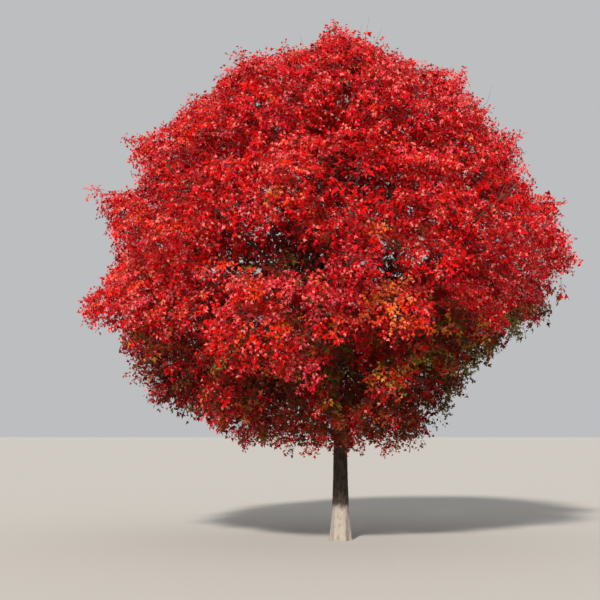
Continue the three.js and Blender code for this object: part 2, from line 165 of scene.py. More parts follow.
def maple_bark(name, plate, pale, crack_colour, cracks, sunlit_foot_colour=None):
    """Bark of a young maple: dull grey plates, paler in blotches, with dark cracks between them."""
    bark = bpy.data.materials.new(name)
    bark.use_nodes = True
    tree = bark.node_tree
    skin = tree.nodes["Principled BSDF"]
    spot = add_node(tree, "ShaderNodeTexCoord").outputs["Object"]
    spacing, length = cracks["Crack Spacing"], cracks["Crack Length"]
    cells = add_node(tree, "ShaderNodeMapping", {
        "Vector": spot, "Scale": (1 / spacing, 1 / spacing, 1 / length)}).outputs[0]
    on_plate = add_node(tree, "ShaderNodeMapRange", {
        "Value": beside_crack(tree, cells), "From Min": CRACK_BOTTOM, "From Max": CRACK_RIM}).outputs[0]
    blotch = add_node(tree, "ShaderNodeTexNoise", {
        "Vector": spot, "Scale": BLOTCHES_A_METRE, "Detail": 4.0, "Roughness": 0.6}).outputs[0]
    tones = add_node(tree, "ShaderNodeMapRange", {
        "Value": blotch, "From Min": DARK_BLOTCH, "From Max": PALE_BLOTCH}).outputs[0]
    plates = add_node(tree, "ShaderNodeMix", {
        0: tones, 6: linear(plate), 7: linear(pale)}, data_type="RGBA").outputs[2]
    if sunlit_foot_colour:
        # Painted light: the foot is pale as in the sun that passes under the crown, up to about half a
        # metre, with an uneven edge
        rise = add_node(tree, "ShaderNodeSeparateXYZ", {0: spot}).outputs["Z"]
        uneven = add_node(tree, "ShaderNodeMath", {
            0: blotch, 1: SUNLIT_EDGE_UNEVEN, 2: rise}, operation="MULTIPLY_ADD").outputs[0]
        sunlit_foot = add_node(tree, "ShaderNodeMapRange", {
            "Value": uneven, "From Min": SUNLIT_FOOT_END, "From Max": SUNLIT_FOOT_BELOW},
            interpolation_type="SMOOTHSTEP").outputs[0]
        plates = add_node(tree, "ShaderNodeMix", {
            0: sunlit_foot, 6: plates, 7: linear(sunlit_foot_colour)}, data_type="RGBA").outputs[2]
        # The cracks there take half of that painted sunlight
        on_plate = add_node(tree, "ShaderNodeMath", {
            0: sunlit_foot, 1: 0.5, 2: on_plate}, operation="MULTIPLY_ADD", use_clamp=True).outputs[0]
    colour = add_node(tree, "ShaderNodeMix", {
        0: on_plate, 6: linear(crack_colour), 7: plates}, data_type="RGBA").outputs[2]
    grain = add_node(tree, "ShaderNodeTexNoise", {
        "Vector": spot, "Scale": GRAINS_A_METRE, "Detail": 3.0, "Roughness": 0.6}).outputs[0]
    roughened = add_node(tree, "ShaderNodeBump", {
        "Height": grain, "Strength": 0.35, "Distance": 0.002}).outputs[0]
    tree.links.new(colour, skin.inputs["Base Color"])
    tree.links.new(roughened, skin.inputs["Normal"])
    skin.inputs["Roughness"].default_value = 0.88
    skin.inputs["Specular IOR Level"].default_value = 0.3
    return bark


def trunk_shell():
    """The trunk as a closed mesh of level rings, which crowd towards the flare."""
    points = []
    for ring in range(TRUNK_RINGS + 1):
        middle = leader_at(LEADER_HEIGHT * (ring / TRUNK_RINGS) ** TRUNK_RING_CROWDING)
        height = middle[2]
        taper = TRUNK_FOOT_RADIUS + (TRUNK_TIP_RADIUS - TRUNK_FOOT_RADIUS) * height / LEADER_HEIGHT
        radius = taper + FLARE_WIDTH * math.exp(-height / FLARE_HEIGHT)
        for side in range(TRUNK_SIDES):
            turn = 2 * math.pi * side / TRUNK_SIDES
            lobe = math.exp(-height / ROOT_LOBE_HEIGHT) * math.cos(ROOT_LOBES * turn + ROOT_LOBE_TURN)
            reach = radius * (1 + ROOT_LOBE_SHARE * lobe)
            points.append(middle + reach * np.array([math.cos(turn), math.sin(turn), 0]))
    faces = [list(range(TRUNK_SIDES - 1, -1, -1))]
    for ring in range(TRUNK_RINGS):
        for side in range(TRUNK_SIDES):
            after = (side + 1) % TRUNK_SIDES
            low, high = ring * TRUNK_SIDES, (ring + 1) * TRUNK_SIDES
            faces.append([low + side, low + after, high + after, high + side])
    faces.append([TRUNK_RINGS * TRUNK_SIDES + side for side in range(TRUNK_SIDES)])
    mesh = bpy.data.meshes.new("trunk_shell")
    mesh.from_pydata(points, [], faces)
    return mesh


# Painted shade: the plates are dark as in the crown's shadow, and the foot is painted pale as sunlit
cracked_bark = maple_bark("cracked_trunk_bark", plate="#372c25", pale="#4b3f35", crack_colour="#16110c",
                          cracks=TRUNK_CRACKS, sunlit_foot_colour="#a0968a")
trunk = grow("trunk_bark", trunk_shell(), bark_tree, {"Bark": cracked_bark, **TRUNK_CRACKS})
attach(trunk, "root")
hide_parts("trunk")


# Boughs
# Tapering limbs of living wood that rise from the leader in tiers, thickened at the collar where
# they leave it, and sweep out to the foliage masses. Their bark is smoother, with finer cracks.

# Heights are of the masses' middles, reach is from the tier's own middle, which is shifted
# sideways, and rise lifts the tier's front. Boughs leave their parent between the root heights,
# leaning this many degrees from upright, and enter their mass this many degrees above level
TIERS = [
    dict(name="skirt", count=5, height=2.28, rise=-0.06, reach=1.4, shift=-0.42, size=1.0, turn=180,
         roots=(1.48, 1.88), lean=68, entry=-4, radius=0.027),
    dict(name="lower", count=7, height=3.33, rise=-0.16, reach=2.33, shift=-0.33, size=1.11, turn=205.7,
         forks="middle", fork_at=0.4, lean=62, entry=8, radius=0.031),
    dict(name="middle", count=7, height=4.85, rise=0.08, reach=2.9, shift=-0.02, size=1.23, turn=167.1,
         roots=(2.08, 3.13), lean=44, entry=30, radius=0.054),
    dict(name="upper", count=6, height=6.18, rise=0.09, reach=1.96, shift=-0.19, size=1.16, turn=180,
         roots=(3.52, 4.47), lean=38, entry=46, radius=0.04),
    dict(name="crown", count=3, height=6.78, rise=0, reach=1.12, shift=0, size=1.08, turn=150,
         roots=(5.16, 5.62), lean=30, entry=50, radius=0.029),
]
TOP = dict(name="top", height=7.1, size=0.94, shift=-0.06)
MASS_FLATNESS = 0.84
HEIGHT_JITTER = 0.15
REACH_JITTER = 0.12
TURN_JITTER = 6
SIZE_JITTER = 0.09
SEED = 20
MASS_SEED_STEP = 101
BOUGH_TAPER = 0.42
BOUGH_FOOT_SPRING = 0.38
LIMB_SPRING = 0.3
COLLAR = 0.4
COLLAR_LENGTH = 0.07
ENTRY_DEPTH = 0.72
BOUGH_STEPS = 30
BOUGH_SIDES = 14
BOUGH_CRACKS = {"Crack Depth": 0.0022, "Crack Spacing": 0.016, "Crack Length": 0.05}
# How much of the leader's end counts as the top mass's bough
LEADER_END = 0.1
UP = np.array([0.0, 0.0, 1.0])


def seeded(seed):
    """A linear congruential generator, so that each mass grows the same way every time."""
    state = seed

    def draw():
        nonlocal state
        state = (state * 1664525 + 1013904223) % 2 ** 32
        return state / 2 ** 32
    return draw


def heading(turn, rise):
    return np.array([math.cos(turn) * math.cos(rise), math.sin(turn) * math.cos(rise), math.sin(rise)])


def unit(way):
    return way / np.linalg.norm(way)


def place_masses():
    """Where every foliage mass sits, how big it is, and which way its bough comes in."""
    random = seeded(SEED)
    masses = []
    for tier in TIERS:
        for i in range(tier["count"]):
            turn = math.radians(tier["turn"] + 360 * i / tier["count"] + TURN_JITTER * (2 * random() - 1))
            reach = tier["reach"] + REACH_JITTER * (2 * random() - 1)
            height = tier["height"] - tier["rise"] * math.sin(turn) + HEIGHT_JITTER * (2 * random() - 1)
            middle = np.array([tier["shift"] + reach * math.cos(turn), reach * math.sin(turn), height])
            size = tier["size"] * (1 + SIZE_JITTER * (2 * random() - 1))
            masses.append(dict(name=f"{tier['name']}_{i + 1}", tier=tier, order=i, turn=turn, middle=middle,
                               size=size, outward=heading(turn, math.radians(tier["entry"]))))
    masses.append(dict(name="top", tier=TOP, order=0, turn=0.0, size=TOP["size"], outward=UP,
                       middle=np.array([TOP["shift"], 0, TOP["height"]])))
    for i, mass in enumerate(masses):
        mass["radii"] = mass["size"] * np.array([1, 1, MASS_FLATNESS])
        mass["seed"] = SEED + MASS_SEED_STEP * (i + 1)
    return masses


def evenly(points, steps):
    """The same line with its points an even way apart along it."""
    passed = np.concatenate([[0], np.cumsum(np.linalg.norm(np.diff(points, axis=0), axis=1))])
    stops = np.linspace(0, passed[-1], steps + 1)
    return np.stack([np.interp(stops, passed, points[:, k]) for k in range(3)], axis=1)


def limb_line(foot, start, foot_spring, tip, end, tip_spring, steps):
    """A line that leaves its foot along one heading and arrives at its tip along another."""
    t = np.linspace(0, 1, 3 * steps + 1)[:, None]
    near, far = foot + start * foot_spring, tip - end * tip_spring
    bent = (1 - t) ** 3 * foot + 3 * (1 - t) ** 2 * t * near + 3 * (1 - t) * t ** 2 * far + t ** 3 * tip
    return evenly(bent, steps)


def line_mesh(name, lines, radii):
    """Open lines as one mesh of edges, with the limb's thickness kept at every point."""
    sizes = [len(line) for line in lines]
    starts = np.cumsum([0] + sizes[:-1])
    first = np.concatenate([np.arange(start, start + size - 1) for start, size in zip(starts, sizes)])
    mesh = bpy.data.meshes.new(name)
    mesh.vertices.add(sum(sizes))
    mesh.vertices.foreach_set("co", np.concatenate(lines).ravel())
    mesh.edges.add(len(first))
    mesh.edges.foreach_set("vertices", np.stack([first, first + 1], axis=1).ravel())
    mesh.attributes.new("thickness", "FLOAT", "POINT").data.foreach_set("value", np.concatenate(radii))
    return mesh


limb_tree, limb_in = new_tree("limb_tubes", Lines="Geometry", Sides="Int", Capped="Bool", Bark="Material",
                              Crack_Depth="Float", Crack_Spacing="Float", Crack_Length="Float")
spines = add_node(limb_tree, "GeometryNodeMeshToCurve", {"Mesh": limb_in["Lines"]}).outputs[0]
section = add_node(limb_tree, "GeometryNodeCurvePrimitiveCircle", {
    "Resolution": limb_in["Sides"], "Radius": 1.0}).outputs[0]
thickness = add_node(limb_tree, "GeometryNodeInputNamedAttribute", {"Name": "thickness"}).outputs[0]
tubes = add_node(limb_tree, "GeometryNodeCurveToMesh", {
    "Curve": spines, "Profile Curve": section, "Scale": thickness,
    "Fill Caps": limb_in["Capped"]}).outputs[0]
bark_on = add_node(limb_tree, "GeometryNodeGroup", node_tree=bark_tree)
limb_tree.links.new(tubes, bark_on.inputs["Limb"])
for label in ("Bark", "Crack Depth", "Crack Spacing", "Crack Length"):
    limb_tree.links.new(limb_in[label], bark_on.inputs[label])
add_node(limb_tree, "NodeGroupOutput", {"Grown": bark_on.outputs[0]})


def bough_to(mass, foot):
    """One sweep from the parent's line, rising first and then reaching out to its mass."""
    tier = mass["tier"]
    tip = mass["middle"] - ENTRY_DEPTH * mass["size"] * mass["outward"]
    span = np.linalg.norm(tip - foot)
    start = heading(mass["turn"], math.radians(90 - tier["lean"]))
    line = limb_line(foot, start, BOUGH_FOOT_SPRING * span, tip, mass["outward"], LIMB_SPRING * span,
                     BOUGH_STEPS)
    t = np.linspace(0, 1, BOUGH_STEPS + 1)
    return line, tier["radius"] * (1 + (BOUGH_TAPER - 1) * t) * (1 + COLLAR * np.exp(-t / COLLAR_LENGTH))


def grow_boughs(masses):
    """The line and radii of every bough, by the name of its mass; the top mass has the leader's tip."""
    boughs = {}
    for mass in masses:
        tier = mass["tier"]
        if "roots" in tier:
            # Neighbours in a ring leave the trunk at heights well apart
            count = tier["count"]
            stride = count - 1 if count % 3 == 0 else 3
            share = ((mass["order"] * stride + 1) % count) / (count - 1)
            low, high = tier["roots"]
            boughs[mass["name"]] = bough_to(mass, leader_at(low + (high - low) * share))
    for mass in masses:
        tier = mass["tier"]
        if "forks" in tier:
            parent = boughs[f"{tier['forks']}_{mass['order'] + 1}"][0]
            boughs[mass["name"]] = bough_to(mass, parent[round(tier["fork_at"] * BOUGH_STEPS)])
    tip = leader_at(LEADER_HEIGHT)
    boughs["top"] = (np.array([tip - LEADER_END * UP, tip]), np.array([TRUNK_TIP_RADIUS] * 2))
    return boughs


masses = place_masses()
bough_lines = grow_boughs(masses)
# Painted shade: the boughs' bark is dark as in the shade inside the crown
smooth_bark = maple_bark("smooth_bough_bark", plate="#352c26", pale="#4f453c", crack_colour="#17120e",
                         cracks=BOUGH_CRACKS)
own_lines = {name: bough for name, bough in bough_lines.items() if name != "top"}
bough_mesh = line_mesh("bough_lines", *zip(*own_lines.values()))
boughs = grow("boughs_bark", bough_mesh, limb_tree, {
    "Sides": BOUGH_SIDES, "Capped": True, "Bark": smooth_bark, **BOUGH_CRACKS})
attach(boughs, "root")
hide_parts(*[f"bough_{name}" for name in own_lines])


# Twigs
# Each bough goes on into its foliage mass as a stem, which branches into sprays, and those into
# twigs and shoots no thicker than a pencil. Living wood in thin reddish-brown skin, grown in one.

STEM_STEPS = 8
STEM_REACH = 0.56
STEM_FOOT_SHARE = 0.92
STEM_TIP_RADIUS = 0.013
GOLDEN_TURN = math.pi * (3 - math.sqrt(5))
EYE = np.array([-0.64, -19.2, 1.66])
# The crown's outline, which is round in plan: height, middle and reach of its leaf tips
OUTLINE = np.array([(1.3, -0.2, 1.05), (1.64, -0.3, 1.75), (2.2, -0.6, 2.5), (2.84, -0.5, 3.05),
                    (3.5, -0.5, 3.7), (3.9, -0.35, 3.95), (4.4, -0.02, 4.06), (5.3, -0.25, 3.86),
                    (5.54, -0.22, 3.5), (5.72, -0.15, 3.3), (6.0, -0.2, 3.4), (6.44, -0.2, 3.3),
                    (6.68, -0.12, 2.9), (6.92, -0.1, 2.6), (7.16, -0.05, 2.3), (7.4, -0.08, 2.0),
                    (7.64, -0.1, 1.4), (7.88, -0.05, 0.9), (8.12, 0, 0.45), (8.4, 0, 0.3)])
# What the front of the crown covers in the photograph's pixels: row, left and right edge
SILHOUETTE = np.array([(13, 328, 342), (34, 320, 354), (46, 303, 396), (58, 225, 408), (74, 216, 471),
                       (92, 203, 475), (106, 174, 494), (128, 160, 509), (142, 121, 532), (170, 126, 528),
                       (190, 140, 541), (200, 88, 563), (226, 100, 566), (250, 103, 578), (266, 110, 588),
                       (284, 100, 572), (298, 82, 562), (320, 80, 562), (336, 110, 528), (350, 124, 506),
                       (380, 129, 479), (398, 150, 461), (412, 180, 446), (430, 224, 434), (446, 226, 414),
                       (470, 320, 360)])
# Gaps that open the crown from the front: x and z in the plane of the trunk, and radius there
GAPS = [(-0.38, 4.25, 0.33), (-1.44, 4.32, 0.23), (0.77, 4.25, 0.26)]
GAP_DEPTH = 0.35
# Hollows that open only its front, in the photograph's pixels: middle, half size, and how far back
HOLLOWS = [((257, 266), (24, 13), -0.9), ((309, 260), (20, 26), -0.8), ((389, 271), (17, 19), -0.8),
           ((275, 391), (34, 12), -1.3), ((192, 365), (15, 34), -1.6), ((270, 296), (10, 7), -1.7),
           ((297, 350), (17, 8), -1.8), ((309, 311), (5, 7), -1.6), ((340, 357), (19, 13), -1.7),
           ((349, 392), (17, 26), -1.0), ((222, 300), (12, 16), -1.9), ((386, 350), (20, 7), -1.8),
           ((425, 385), (16, 14), -1.2)]
BRANCHES_TRIED = 45
BRANCH_SHELL = 0.84
SHELL_JITTER = 0.08
BRANCH_FACING = -0.34
BRANCH_LENGTH = 0.68
LEADING_LENGTH = 0.82
BRANCH_MIDDLE = 0.44
FACE_UP = 0.45
FACE_TILT = 0.5
HANG_ANGLE = -0.5
HANG_TILT = 0.7
BRANCH_ON_STEM = 0.6
TWIG_ON_BRANCH = 0.48
BRANCH_TIP_RADIUS = 0.0026
BRANCH_SPRING = 0.35
BRANCH_STEPS = 8
BRANCH_SIDES = 5
# A branch sweeps to the foot of its spray, and ends past the spray's middle and a little lower
SWEEP_STEPS = 5
BRANCH_PAST = 0.4
BRANCH_SAG = 0.05
BACKWARD_COST = 0.8
PLACE_SPACING = 0.055
# Where on a limb the first and the last place are, as shares of its length
FIRST_PLACE = 0.12
LAST_PLACE = 0.98
# How far within the outline a branch and a tuft keep, as leaves reach on from them
BRANCH_INSET = 0.28
TUFT_INSET = 0.16
# How much of that they keep within its top and foot
END_INSET = 0.3
SHARED_SPACE = 0.06
# Each branch carries a mound of tufts, spread over a flattened dome that leans outwards
MOUND_TUFTS = 11
MOUND_RADII = np.array([0.37, 0.37, 0.28])
MOUND_LEAN = 1.1
MOUND_EDGE = -0.1
MOUND_TURN = 0.3
DOME_SPREAD = (0.85, 1.1)
# A mound's tufts point away from its middle, leaning outwards and drooping, with some tilt
TUFT_LEAN = 0.3
TUFT_DROOP = 0.3
TUFT_TILT = 0.4
# Mounds that stand out at the front of the crown: middle and half size in the photograph's pixels
FRONT_MOUNDS = [((254, 339), (43, 34)), ((353, 276), (21, 27)), ((307, 294), (26, 11)),
                ((247, 290), (11, 9)), ((397, 314), (31, 26)), ((298, 367), (18, 9)),
                ((386, 383), (16, 11)), ((332, 325), (20, 15)), ((435, 262), (30, 18))]
PIXELS_A_RADIAN = 1200
HORIZON = 434
PHOTO_MIDDLE = 300
FRONT_INSET = 0.36
FRONT_STANDS_OUT = 0.3
FRONT_TOP = np.array([0.0, -0.9, 0.43])
FRONT_EDGE = -0.3
FRONT_STEP = 0.05
TUFTS_A_SQUARE_METRE = 58
# Round them the other tufts keep back, so that their edges show against shade
RECESS = 1.4
RECESS_DEPTH = 0.25
# Single sprays that stand out of the outline, by their tips in the same pixels
OUTER_SPRAYS = [(118, 133), (128, 147), (84, 188), (96, 200), (232, 40), (284, 36), (337, 8), (345, 18),
                (328, 17), (322, 30), (352, 32), (400, 40), (470, 62), (494, 103), (528, 132), (85, 303),
                (88, 318), (583, 262), (577, 240), (530, 190), (570, 202), (130, 372), (245, 452),
                (262, 448), (332, 468), (347, 458), (362, 450), (408, 436)]
SPRAY_TUFTS = 3
SPRAY_STEP = 0.17
SPRAY_DEPTH = 0.25
SPRAY_BEND = 0.3
SPRAY_LEVEL = 0.6
SPRAY_TILT = 0.5
# Bare twigs that stand out of the top, from foot to tip
BARE_TWIGS = [((365, 44), (371, 15)), ((361, 42), (363, 22)), ((376, 44), (384, 26)),
              ((489, 104), (494, 87)), ((304, 46), (300, 32))]
CROWN_MIDDLE = np.array([-0.2, 0, 4.6])
# Shade tufts that close the view through the crown: middle and half size in pixels, and their number
VEILS = [((247, 253), (17, 13), 15), ((292, 245), (26, 14), 16), ((262, 268), (14, 8), 5),
         ((445, 215), (45, 48), 26), ((525, 262), (42, 62), 34), ((160, 250), (45, 60), 16)]
VEIL_FRONT = -0.7
VEIL_BACK = 1.6
# The same from the sides: middle and half size backwards and upwards in metres, and their number
SIDE_VEILS = [((0.95, 4.95), (0.5, 0.45), 26), ((-1.8, 5.05), (0.5, 0.45), 26), ((0.3, 4.3), (0.5, 0.3), 8)]
SIDE_VEIL_REACH = 2.5
# Tufts inside a mass: shells as shares of its radii, with how many places are tried on each
INNER_SHELLS = [(0.74, 52), (0.5, 24)]
INNER_OUT = 0.75
INNER_HANG = 0.55
INNER_TILT = 0.45
# What share of the inner tufts hangs in the gaps all the same, so that the sky only sparkles through
GAP_VEIL = 0.65
# Tufts between a mass and the leader, which stand on the bough, from one share of the way to another
HEART_TUFTS = 16
HEART_SPAN = (0.3, 0.95)
HEART_DROP = 0.2
HEART_SPREAD = 0.42
HEART_TILT = 0.8
TWIG_RADIUS = 0.0024
SHOOT_RADIUS = 0.0014
TWIG_TIP_RADIUS = 0.0011
BARE_TWIG_RADII = np.array([1.4 * TWIG_RADIUS, 1.2 * TWIG_RADIUS, TWIG_TIP_RADIUS])
TWIG_SIDES = 3
STRAIGHT_TWIG = 0.2
LEAF_REACH = 0.09
SHOOT_LENGTH = 0.26
SHOOT_LENGTHS = (0.8, 1.2)
SHOOT_DROOP = 0.12
SHOOT_TURN = 0.3
SIDE_SHOOT_TILT = 0.25
SIDE_SHOOT_DROOP = 0.1
# Side shoots: where they leave the main one, their turn from it and their share of its length
SIDE_SHOOTS = [(0.15, -0.8, 0.85), (0.15, 0.8, 0.85)]
# The skin of the twigs changes its tone about every 7 cm
TWIG_BLOTCHES_A_METRE = 14


class Wood:
    """What has grown in one mass: the places that a twig can leave, one twig to a place."""

    def __init__(self):
        self.points = np.empty((0, 3))
        self.ways = np.empty((0, 3))
        self.radii = np.empty(0)
        self.free = np.empty(0, bool)

    def add(self, line, radii):
        """Opens places along a line, each with the radius of the twig that it has room for."""
        length = np.linalg.norm(line[-1] - line[0])
        stops = np.linspace(FIRST_PLACE, LAST_PLACE, max(2, round(length / PLACE_SPACING)))
        steps = np.linspace(0, 1, len(line))
        ways = np.gradient(line, axis=0)
        ways = ways / np.linalg.norm(ways, axis=1)[:, None]
        places = np.stack([np.interp(stops, steps, line[:, k]) for k in range(3)], axis=1)
        self.points = np.vstack([self.points, places])
        self.ways = np.vstack([self.ways, ways[np.rint(stops * (len(line) - 1)).astype(int)]])
        self.radii = np.append(self.radii, np.interp(stops, steps, radii))
        self.free = np.append(self.free, np.ones(len(stops), bool))

    def take(self, target):
        """The nearest free place to a target, favouring those that a twig can leave forwards."""
        way = target - self.points
        # The added trifle keeps a target that lies on a place from dividing by zero
        distance = np.linalg.norm(way, axis=1) + 1e-9
        forward = (way * self.ways).sum(axis=1) / distance
        cost = distance * (1 + BACKWARD_COST * (1 - forward))
        best = np.argmin(np.where(self.free, cost, np.inf))
        self.free[best] = False
        return self.points[best], self.ways[best], self.radii[best], distance[best]


def pixel_of(point):
    """Where a point shows in the photograph."""
    ahead = point[1] - EYE[1]
    across = PHOTO_MIDDLE + PIXELS_A_RADIAN * (point[0] - EYE[0]) / ahead
    return across, HORIZON - PIXELS_A_RADIAN * (point[2] - EYE[2]) / ahead


def inside_outline(point, inset):
    """Tells whether a point is this far within the crown's outline, also as it shows from the front."""
    heights, middles, reaches = OUTLINE.T
    middle, reach = np.interp(point[2], heights, middles), np.interp(point[2], heights, reaches)
    within = math.hypot(point[0] - middle, point[1]) < reach - inset
    across, down = pixel_of(point)
    rows, lefts, rights = SILHOUETTE.T
    margin = inset * PIXELS_A_RADIAN / (point[1] - EYE[1])
    shows = np.interp(down, rows, lefts) + margin < across < np.interp(down, rows, rights) - margin
    end_inset = END_INSET * inset
    return within and shows and heights[0] + end_inset < point[2] < heights[-1] - end_inset


def own_space(mass, masses):
    """Tells whether a point is on the mass's own side of a plane between it and each other mass."""
    others = [other for other in masses if other is not mass]
    across = np.array([other["middle"] - mass["middle"] for other in others])
    reach = np.linalg.norm(across, axis=1)
    walls = reach * np.array([mass["size"] / (mass["size"] + other["size"]) for other in others])
    normals = across / reach[:, None]

    def inside(point, inset):
        aside = normals @ (point - mass["middle"]) - walls
        return bool((aside < SHARED_SPACE).all()) and inside_outline(point, inset)
    return inside


def in_gap(point):
    """Tells whether a point is in a hollow, or in a shaft from the eye through one of the gaps."""
    share = (point[1] - EYE[1]) / -EYE[1]
    for x, z, radius in GAPS:
        aside = point[0] - (EYE[0] + (x - EYE[0]) * share)
        above = point[2] - (EYE[2] + (z - EYE[2]) * share)
        if math.hypot(aside, above) < radius * share and point[1] < GAP_DEPTH:
            return True
    across, down = pixel_of(point)
    return any(math.hypot((across - x) / wide, (down - y) / high) < 1 and point[1] < back
               for (x, y), (wide, high), back in HOLLOWS)


def stem_of(mass):
    """The stem goes on from its bough's tip, out through the middle of the mass."""
    line, radii = bough_lines[mass["name"]]
    start = unit(line[-1] - line[-2])
    tip = mass["middle"] + STEM_REACH * mass["size"] * mass["outward"]
    spring = LIMB_SPRING * np.linalg.norm(tip - line[-1])
    stem = limb_line(line[-1], start, spring, tip, mass["outward"], spring, STEM_STEPS)
    return stem, np.linspace(radii[-1] * STEM_FOOT_SHARE, STEM_TIP_RADIUS, STEM_STEPS + 1)


def branch_sprays(mass, stem):
    """The sprays of the crown's solids: the one at the stem's end, then a golden spiral of them."""
    random = seeded(mass["seed"])
    spin = 2 * math.pi * random()
    sprays = []
    for i in range(BRANCHES_TRIED):
        out = heading(spin + i * GOLDEN_TURN, math.asin(1 - 2 * (i + 0.5) / BRANCHES_TRIED))
        shell = BRANCH_SHELL * (1 + SHELL_JITTER * (2 * random() - 1))
        tilt = np.array([random() - 0.5, random() - 0.5, random() - 0.5])
        middle = mass["middle"] + out * mass["radii"] * shell
        if out @ mass["outward"] < BRANCH_FACING or in_gap(middle):
            continue
        normal = unit(out + UP * FACE_UP + tilt * FACE_TILT)
        hang = heading(mass["turn"], HANG_ANGLE) + tilt * HANG_TILT
        sprays.append((middle, unit(hang - normal * (hang @ normal)), out, BRANCH_LENGTH))
    sprays.sort(key=lambda spray: np.linalg.norm(spray[0] - stem[0]))
    outward = mass["outward"]
    leading = (stem[-1] + LEADING_LENGTH * BRANCH_MIDDLE * outward, outward, outward, LEADING_LENGTH)
    return [leading] + sprays


def grow_branches(mass, inside, wood, limbs):
    """Branches from the stem to every spray, each running on through its spray to a fine tip."""
    mounds = []
    for middle, along, out, length in branch_sprays(mass, limbs[0][0]):
        foot = middle - along * BRANCH_MIDDLE * length
        if not (inside(foot, BRANCH_INSET) and inside(middle, BRANCH_INSET)):
            continue
        point, way, radius, distance = wood.take(foot)
        spring = BRANCH_SPRING * distance
        swept = limb_line(point, way, spring, foot, along, spring, SWEEP_STEPS)
        end = middle + along * BRANCH_PAST * length - UP * BRANCH_SAG
        line = evenly(np.vstack([swept, [middle, end]]), BRANCH_STEPS)
        radii = np.linspace(radius, BRANCH_TIP_RADIUS, BRANCH_STEPS + 1)
        limbs.append((line, radii))
        wood.add(line, radii * TWIG_ON_BRANCH)
        mounds.append(dict(middle=middle, top=unit(UP + MOUND_LEAN * out), edge=MOUND_EDGE, out=out,
                           radii=MOUND_RADII, tried=MOUND_TUFTS, inside=inside))
    return mounds


def sight_line(pixel):
    """The way from the eye through a pixel, for each metre ahead."""
    across, down = pixel
    return np.array([(across - PHOTO_MIDDLE) / PIXELS_A_RADIAN, 1, (HORIZON - down) / PIXELS_A_RADIAN])


def beside_trunk(pixel, back):
    """The point that shows at a pixel, this far behind the plane of the trunk."""
    return EYE + (back - EYE[1]) * sight_line(pixel)


def nearest_mass(point):
    return min(masses, key=lambda mass: np.linalg.norm((point - mass["middle"]) / mass["radii"]))


def front_mounds():
    """The mounds that stand out at the front, each where its line of sight first comes under leaves."""
    placed = []
    for pixel, (wide, high) in FRONT_MOUNDS:
        way = sight_line(pixel)
        ahead = -EYE[1] - OUTLINE[:, 2].max()
        while not inside_outline(EYE + ahead * way, FRONT_INSET):
            ahead += FRONT_STEP
        radii = np.array([wide, min(wide, high), high]) * ahead / PIXELS_A_RADIAN
        tried = max(MOUND_TUFTS, round(TUFTS_A_SQUARE_METRE * radii[0] * radii[2] * math.pi))
        placed.append(dict(middle=EYE + ahead * way, top=FRONT_TOP, edge=FRONT_EDGE, out=FRONT_TOP,
                           radii=radii, tried=tried,
                           inside=lambda place, inset: inside_outline(place, -FRONT_STANDS_OUT)))
    return placed


def clear_of_front(place, share):
    """Tells whether a place is outside the recess round every mound that stands out at the front."""
    for mound in all_front:
        aside = (place - mound["middle"]) / (share * mound["radii"])
        if math.hypot(aside[0], aside[2]) < 1 and place[1] < mound["middle"][1] + RECESS_DEPTH:
            return False
    return True


def tuft_at(place, along, face):
    """A tuft with its middle at a place: its foot, its heading and its outward side."""
    return place - 0.5 * SHOOT_LENGTH * along, along, face


def mound_tufts(mound, draw):
    """The tufts of one mound, on a golden spiral over its dome."""
    top, tried = mound["top"], mound["tried"]
    side = unit(np.cross(top, mound["out"] + MOUND_TURN * draw.uniform(-1, 1, 3)))
    other = np.cross(top, side)
    spin = 2 * math.pi * draw.random()
    tufts = []
    for i in range(tried):
        level = 1 - (1 - mound["edge"]) * (i + 0.5) / tried
        turn = spin + i * GOLDEN_TURN
        away = math.cos(turn) * side + math.sin(turn) * other
        face = level * top + math.sqrt(1 - level ** 2) * away
        place = mound["middle"] + face * mound["radii"] * draw.uniform(*DOME_SPREAD)
        stands_out = mound["top"] is FRONT_TOP
        if mound["inside"](place, TUFT_INSET) and (
                stands_out or not in_gap(place) and clear_of_front(place, RECESS)):
            tilt = TUFT_TILT * draw.uniform(-1, 1, 3)
            along = unit(away + TUFT_LEAN * mound["out"] - TUFT_DROOP * UP + tilt)
            tufts.append(tuft_at(place, along, face))
    return tufts


def inner_tufts(mass, inside, draw):
    """The sparser tufts inside a mass, on shells within the one that carries the mounds."""
    tufts = []
    for shell, tried in INNER_SHELLS:
        spin = 2 * math.pi * draw.random()
        for i in range(tried):
            out = heading(spin + i * GOLDEN_TURN, math.asin(1 - 2 * (i + 0.5) / tried))
            place = mass["middle"] + out * mass["radii"] * shell * (1 + SHELL_JITTER * draw.uniform(-1, 1))
            if inside(place, BRANCH_INSET) and (draw.random() < GAP_VEIL or not in_gap(place)):
                hang = heading(mass["turn"], HANG_ANGLE)
                tilt = INNER_TILT * draw.uniform(-1, 1, 3)
                tufts.append(tuft_at(place, unit(INNER_OUT * out + INNER_HANG * hang + tilt), out))
    return tufts


def heart_tufts(mass, draw):
    """Sparse tufts between a mass and the leader."""
    tufts = []
    for i in range(HEART_TUFTS):
        inwards = draw.uniform(*HEART_SPAN)
        axis = leader_at(min(mass["middle"][2] - HEART_DROP, LEADER_HEIGHT))
        place = mass["middle"] + inwards * (axis - mass["middle"]) + HEART_SPREAD * draw.normal(0, 1, 3)
        if inside_outline(place, BRANCH_INSET) and (draw.random() < GAP_VEIL or not in_gap(place)):
            out = unit(place - axis + 0.01)
            tufts.append(tuft_at(place, unit(out + HEART_TILT * draw.uniform(-1, 1, 3)), out))
    return tufts


